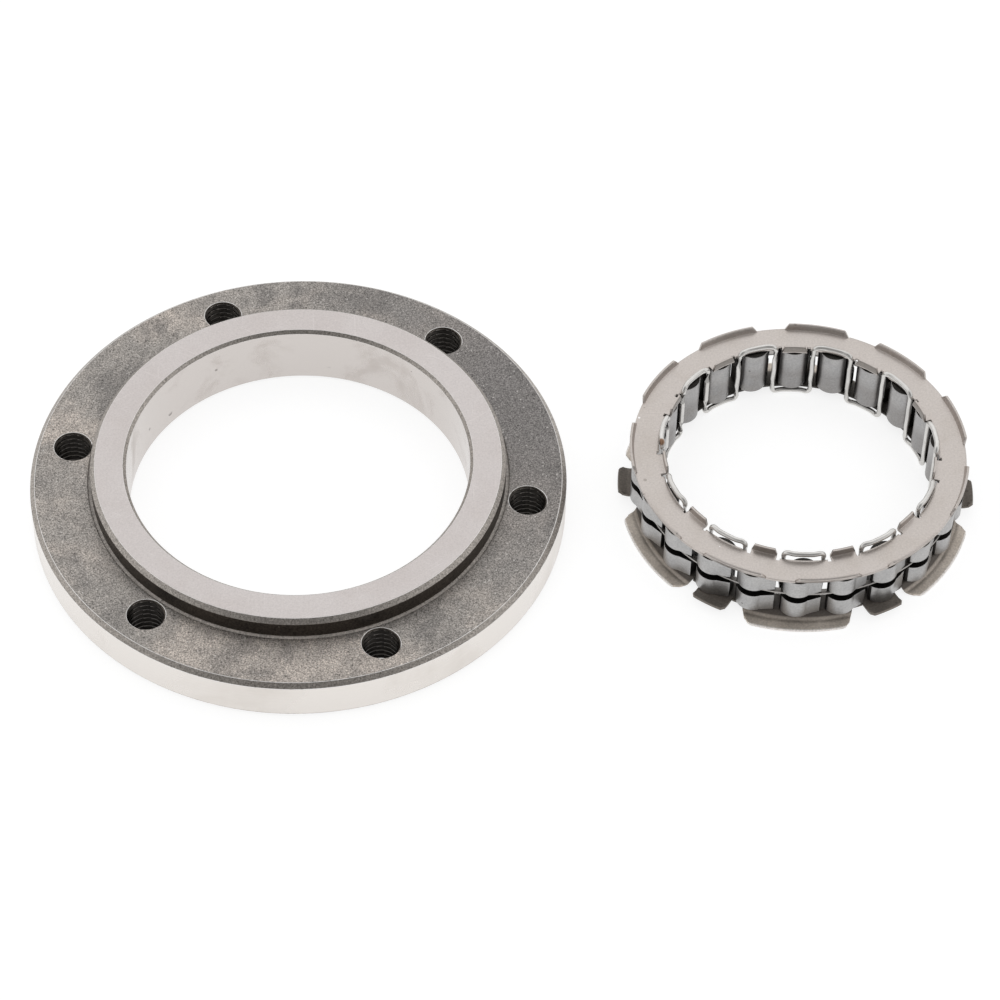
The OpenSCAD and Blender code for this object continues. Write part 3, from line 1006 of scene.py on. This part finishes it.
def build_bottom_ring(materials):
    """The bottom ring: a plate, six wide lobes stepped down and six small tabs turned up."""
    lobe_centres = [LOBE_TURN + 60.0 * k for k in range(LOBES)]
    ear_centres = [LOBE_TURN + 60.0 * k + 30.0 for k in range(LOBES)]
    lobe_half = math.degrees(math.asin(LOBE_W / 2 / STEP_R))
    ear_half = math.degrees(math.asin(EAR_W / 2 / STEP_R))
    lobe_marks = [s * lobe_half * part for part in (1.0, 0.94, 0.88) for s in (-1, 1)]
    ear_marks = [s * ear_half * part for part in (1.0, 0.85) for s in (-1, 1)]
    marks = [c + m for c in lobe_centres for m in lobe_marks]
    marks += [c + m for c in ear_centres for m in ear_marks]
    columns = spread_columns(marks, 2.0)
    grid = SheetGrid(columns)

    def flat(radius):
        return lambda n: CAGE + round_place(radius, columns[n], PLATE_MID_Z)

    def strip(radius, height, centres, half, width, corner, edge_r, taper=0.0):
        """A row across strips, which may narrow outwards; the outermost rows give way at the corners."""

        def place(n):
            centre = near(columns[n], centres, half + 0.01)
            away = (columns[n] - centre + 180.0) % 360.0 - 180.0
            lost = taper / width * (radius - STEP_R) / (edge_r - STEP_R)
            across = STEP_R * math.sin(math.radians(away)) * (1 - lost)
            free = (width - taper) / 2 - corner
            cut = 0.0
            if abs(across) > free:
                over = min(abs(across) - free, corner)
                cut = corner - math.sqrt(max(corner**2 - over**2, 0.0))
            reach = min(radius, edge_r - cut)
            along = math.sqrt(reach**2 - across**2)
            return CAGE + Matrix.Rotation(math.radians(centre), 3, "Z") @ Vector((across, -along, height))

        return place

    edges = grid.start(flat(RING_INNER_R))
    for radius in (28.4, 29.6, STEP_R):
        edges = grid.grow(edges, flat(radius))
    lobes = grid.pick(edges, lambda a: near(a, lobe_centres, lobe_half) is not None)
    ears = grid.pick(edges, lambda a: near(a, ear_centres, ear_half) is not None)
    taken = set(lobes) | set(ears)
    grid.grow([e for e in edges if e not in taken], flat(PLATE_R))

    def step_height(radius):
        """The joggle from the plate down to the lobes, eased at both of its bends."""
        t = min(max((radius - STEP_R) / STEP_RUN, 0.0), 1.0)
        return PLATE_MID_Z + (LOBE_MID_Z - PLATE_MID_Z) * (t - STEP_EASE * math.sin(math.tau * t))

    for radius in (30.75, 31.0, 31.25, 31.5, 31.75, 32.0, 32.3, 33.0, 33.6, 34.1, LOBE_R):
        shape = (lobe_centres, lobe_half, LOBE_W, LOBE_CORNER, LOBE_R, LOBE_TAPER)
        lobes = grid.grow(lobes, strip(radius, step_height(radius), *shape))
    for radius in (31.5, 32.4, 32.8, 33.1, 33.5, 34.2, EAR_R):
        rise = EAR_RISE * max(radius - EAR_BEND_R, 0.0) / (EAR_R - EAR_BEND_R)
        shape = (ear_centres, ear_half, EAR_W, EAR_CORNER, EAR_R)
        ears = grid.grow(ears, strip(radius, PLATE_MID_Z + rise, *shape))
    piece = finish_mesh(
        "bottom_ring_dressed", grid.bm, [materials["flange"]], "cage", ["bottom_ring"], 50.0
    )
    thick_sheet(piece)
    even_shading(piece)


def smooth_step(t):
    """Eases a share from 0 to 1 at both ends."""
    t = min(max(t, 0.0), 1.0)
    return t * t * (3 - 2 * t)


def spring_path():
    """The spring's closed centre line, leg by leg and loop by loop."""
    points = []

    def half_loop(bar, up, reach):
        """From a leg round its bend to the loop's bar: (run along the ring, radius, height)."""
        half = []
        for i in range(7):
            a = math.radians(90 * i / 6)
            run = WIRE_BEND_R * (1 - math.cos(a))
            height = bar - up * WIRE_BEND_R * (1 - math.sin(a))
            half.append((run, LEG_R + reach * smooth_step(run / REACH_RUN), height))
        for run in (1.3, 1.6, 1.9, REACH_RUN):
            half.append((run, LEG_R + reach * smooth_step(run / REACH_RUN), bar))
        return half

    def place(run, radius, height, turn, side):
        away = PITCH / 2 - math.degrees(run / LEG_R)
        return round_place(radius, turn + side * away, height)

    for k in range(SPRAGS):
        turn = k * PITCH
        bar, up, reach = (LOOP_Z, 1, LOOP_REACH) if k % 2 == 0 else (FOOT_Z, -1, FOOT_REACH)
        half = half_loop(bar, up, reach)
        points += [place(*p, turn, -1) for p in half]
        middle = PITCH / 2 - math.degrees(REACH_RUN / LEG_R)
        for share in (-0.5, 0.0, 0.5):
            points.append(round_place(LEG_R + reach, turn + share * middle, bar))
        points += [place(*p, turn, 1) for p in reversed(half)]
        low, high = (WIRE_BEND_R + FOOT_Z, LOOP_Z - WIRE_BEND_R)
        leg = [high + (low - high) * s for s in (0.25, 0.5, 0.75)]
        if k % 2:
            leg.reverse()
        points += [round_place(LEG_R, turn + PITCH / 2, z) for z in leg]
    return [CAGE + p for p in points]


def build_spring(materials):
    """The meander spring: one closed round wire."""
    curve = bpy.data.curves.new("spring path", "CURVE")
    curve.dimensions = "3D"
    curve.bevel_depth = mm(WIRE_R)
    curve.bevel_resolution = 5
    curve.twist_mode = "Z_UP"
    line = curve.splines.new("POLY")
    points = spring_path()
    line.points.add(len(points) - 1)
    for point, target in zip(points, line.points):
        target.co = (*mm(*point), 1.0)
    line.use_cyclic_u = True
    holder = bpy.data.objects.new("spring path", curve)
    scene.collection.objects.link(holder)
    bpy.context.view_layer.update()
    bm = bmesh.new()
    bm.from_mesh(holder.evaluated_get(bpy.context.evaluated_depsgraph_get()).to_mesh())
    bpy.data.objects.remove(holder)
    bmesh.ops.remove_doubles(bm, verts=bm.verts[:], dist=1e-7)
    finish_mesh(
        "meander_spring_dressed", bm, [materials["wire"]], "cage", ["meander_spring"], 60.0
    )


def build_hoop(materials):
    """The flat hoop in the sprags' grooves."""
    bm = bmesh.new()
    inner, outer = HOOP_R
    low, high = HOOP_Z
    outline = eased([
        (inner, (low + high) / 2, 0),
        (inner, high, 0.06),
        (outer, high, 0.06),
        (outer, low, 0.06),
        (inner, low, 0.06),
        (inner, (low + high) / 2, 0),
    ])
    spin_outline(bm, outline, 180)
    bmesh.ops.remove_doubles(bm, verts=bm.verts[:], dist=1e-7)
    bmesh.ops.translate(bm, verts=bm.verts[:], vec=mm(*CAGE))
    hoop = finish_mesh(
        "retaining_hoop_dressed", bm, [materials["hoop"]], "cage", ["retaining_hoop"]
    )
    even_shading(hoop)


def arc(centre, radius, first, last, steps):
    """Places on an arc, in degrees, both ends included."""
    return [
        Vector((
            centre[0] + radius * math.cos(math.radians(first + (last - first) * i / steps)),
            centre[1] + radius * math.sin(math.radians(first + (last - first) * i / steps)),
        ))
        for i in range(steps + 1)
    ]


def sprag_outline():
    """A sprag's section about its rocking axis: X outwards, Y round towards the toe."""
    outline = arc((0, 0), INNER_CAM_R, *INNER_CAM_ARC, 30)
    outline += arc(OUTER_CAM_AT, OUTER_CAM_R, *OUTER_CAM_ARC, 20)
    outline.append(Vector(TOE))
    return outline


def raise_faces(bm, faces, rise):
    """Extrudes faces upwards and returns the faces at the new height."""
    grown = bmesh.ops.extrude_face_region(bm, geom=faces)["geom"]
    verts = [g for g in grown if isinstance(g, bmesh.types.BMVert)]
    bmesh.ops.translate(bm, verts=verts, vec=mm(0, 0, rise))
    return [g for g in grown if isinstance(g, bmesh.types.BMFace)]


def build_sprags(materials):
    """Twenty-two sprags, each a block with two cams and a groove, mirrored about its middle."""
    middle_z = (SPRAG_LOW + SPRAG_HIGH) / 2
    groove_half = (GROOVE_HIGH - GROOVE_LOW) / 2
    bm = bmesh.new()
    floor = bm.faces.new([bm.verts.new(mm(p.x, p.y, SPRAG_LOW - middle_z)) for p in sprag_outline()])
    split = bmesh.ops.bisect_plane(
        bm, geom=[floor, *floor.edges, *floor.verts], plane_co=mm(GROOVE_OUT, 0, 0), plane_no=(1, 0, 0)
    )
    faces = [g for g in split["geom"] if isinstance(g, bmesh.types.BMFace)]
    caps = raise_faces(bm, faces, middle_z - groove_half - SPRAG_LOW)
    inner = [f for f in caps if f.calc_center_median().x < mm(GROOVE_OUT)]
    middle = raise_faces(bm, inner, groove_half)
    spare = [f for f in inner if f.is_valid] + middle
    bmesh.ops.delete(bm, geom=spare, context="FACES_ONLY")
    bmesh.ops.mirror(
        bm,
        geom=bm.verts[:] + bm.edges[:] + bm.faces[:],
        matrix=Matrix.Identity(4),
        merge_dist=1e-6,
        axis="Z",
    )
    bmesh.ops.recalc_face_normals(bm, faces=bm.faces[:])
    limit = math.radians(25)
    sharp = [e for e in bm.edges if e.is_manifold and e.is_convex and e.calc_face_angle() > limit]
    bmesh.ops.bevel(
        bm, geom=sharp, offset=mm(SPRAG_EDGE), segments=2, affect="EDGES", profile=0.5, material=-1
    )
    # Finish 1 is dark: painted shade in the groove and on the faces towards the gaps; the end faces take it
    # as well.
    for face in bm.faces:
        middle = face.calc_center_median() * 1000
        in_groove = abs(middle.z) < groove_half + 0.02 and middle.x > GROOVE_OUT - 0.01
        side = abs(face.normal.y) > 0.8 and middle.x < 1.5
        face.material_index = 1 if abs(face.normal.z) > 0.95 or in_groove or side else 0
    coats = [materials["sprag"], materials["sprag end"]]
    for number in range(1, SPRAGS + 1):
        turned = bm.copy()
        place = (
            Matrix.Translation(mm(*CAGE) + mm(0, 0, middle_z))
            @ Matrix.Rotation(math.radians((number - 1) * PITCH - 90.0), 4, "Z")
            @ Matrix.Translation(mm(SPRAG_AXIS_R, 0, 0))
        )
        bmesh.ops.transform(turned, matrix=place, verts=turned.verts[:])
        name = f"sprag_{number:02d}"
        even_shading(finish_mesh(name + "_dressed", turned, coats, name, [name]))
    bm.free()


# The studio


def build_camera():
    """The photograph's camera: a long lens that looks down at fifty degrees, turned a little."""
    camera = bpy.data.cameras.new("camera")
    camera.sensor_width = 36.0
    camera.lens = LENS
    holder = bpy.data.objects.new("camera", camera)
    scene.collection.objects.link(holder)
    right = Vector((1.0, 0.0, 0.0))
    up = right.cross(CAMERA_AHEAD)
    roll = math.radians(CAMERA_ROLL)
    right, up = (
        right * math.cos(roll) + up * math.sin(roll),
        up * math.cos(roll) - right * math.sin(roll),
    )
    turn = Matrix((right, up, -CAMERA_AHEAD)).transposed().to_4x4()
    holder.matrix_world = Matrix.Translation(mm(*CAMERA_AT)) @ turn
    scene.camera = holder


def where_seen(tree, plain, seen):
    """One shader for light that falls on the object, and another for rays that show the surroundings."""
    rays = add_node(tree, "ShaderNodeLightPath").outputs
    either = maths(tree, "MAXIMUM", rays["Is Camera Ray"], rays["Is Glossy Ray"])
    directly = maths(tree, "MAXIMUM", either, rays["Is Transmission Ray"])
    return add_node(tree, "ShaderNodeMixShader", {0: directly, 1: plain, 2: seen}).outputs[0]


def build_floor():
    """A pale floor that looks white and keeps a soft shadow."""
    bm = bmesh.new()
    bmesh.ops.create_grid(bm, x_segments=1, y_segments=1, size=3.0)
    bmesh.ops.translate(bm, verts=bm.verts[:], vec=mm(50.0, 0.0, -0.1))
    mesh = bpy.data.meshes.new("floor")
    bm.to_mesh(mesh)
    bm.free()
    material = bpy.data.materials.new("floor paper")
    material.use_nodes = True
    tree = material.node_tree
    tree.nodes.remove(tree.nodes["Principled BSDF"])
    pale = add_node(tree, "ShaderNodeBsdfDiffuse", {"Color": (0.8, 0.8, 0.8, 1)}).outputs[0]
    shadowed = add_node(tree, "ShaderNodeBsdfDiffuse", {"Color": (0.3, 0.3, 0.3, 1)}).outputs[0]
    glow = add_node(tree, "ShaderNodeEmission", {"Color": WHITE, "Strength": 0.8}).outputs[0]
    white = add_node(tree, "ShaderNodeAddShader", {0: shadowed, 1: glow}).outputs[0]
    tree.links.new(where_seen(tree, pale, white), tree.nodes["Material Output"].inputs["Surface"])
    mesh.materials.append(material)
    floor = bpy.data.objects.new("floor", mesh)
    scene.collection.objects.link(floor)


def build_world():
    """A white backdrop, and for reflections a tent that is greyer where the camera stands."""
    world = bpy.data.worlds.new("white tent")
    scene.world = world
    world.use_nodes = True
    tree = world.node_tree
    tree.nodes.clear()
    direction = add_node(tree, "ShaderNodeTexCoord").outputs["Generated"]
    front = add_node(
        tree, "ShaderNodeVectorMath", {0: direction, 1: TENT_GREY_TOWARDS}, operation="DOT_PRODUCT"
    )
    level = add_node(
        tree,
        "ShaderNodeMapRange",
        {"Value": front.outputs["Value"], "From Min": 0.42, "From Max": 0.95, "To Min": 1.0, "To Max": 0.3},
        interpolation_type="SMOOTHSTEP",
    ).outputs["Result"]
    backdrop = add_node(tree, "ShaderNodeLightPath").outputs["Is Camera Ray"]
    brightness = maths(tree, "MAXIMUM", level, backdrop)
    tent = add_node(tree, "ShaderNodeBackground", {"Color": WHITE, "Strength": brightness}).outputs[0]
    soft = add_node(tree, "ShaderNodeBackground", {"Color": WHITE, "Strength": 0.85}).outputs[0]
    add_node(tree, "ShaderNodeOutputWorld", {"Surface": where_seen(tree, soft, tent)})


def build_softbox():
    """One large soft lamp behind the pieces."""
    lamp = bpy.data.lights.new("back softbox", "AREA")
    lamp.shape = "SQUARE"
    lamp.size = 0.7
    lamp.energy = 0.25
    holder = bpy.data.objects.new("back softbox", lamp)
    scene.collection.objects.link(holder)
    holder.location = SOFTBOX_AT
    holder.rotation_euler = (mm(50, 0, 0) - SOFTBOX_AT).to_track_quat("-Z", "Y").to_euler()


finishes = {
    "face": blasted_face(),
    "chamfer": grained_chamfer(),
    "wall": ground_wall(),
    "top": ground_top(),
    "black": black_wall(),
    "bore": bore_wall(),
    "edge": rubbed_edge_and_painted_highlight(),
    "thread": thread_steel(),
    "root": root_groove(),
    "ring": ring_sheet(),
    "flange": flange_sheet(),
    "wire": spring_wire(),
    "sprag": sprag_steel(),
    "sprag end": sprag_end(),
    "hoop": hoop_steel(),
}
build_race(finishes)
build_top_ring(finishes)
build_bottom_ring(finishes)
build_spring(finishes)
build_hoop(finishes)
build_sprags(finishes)

build_camera()
build_floor()
build_world()
build_softbox()

scene.view_settings.view_transform = "Standard"
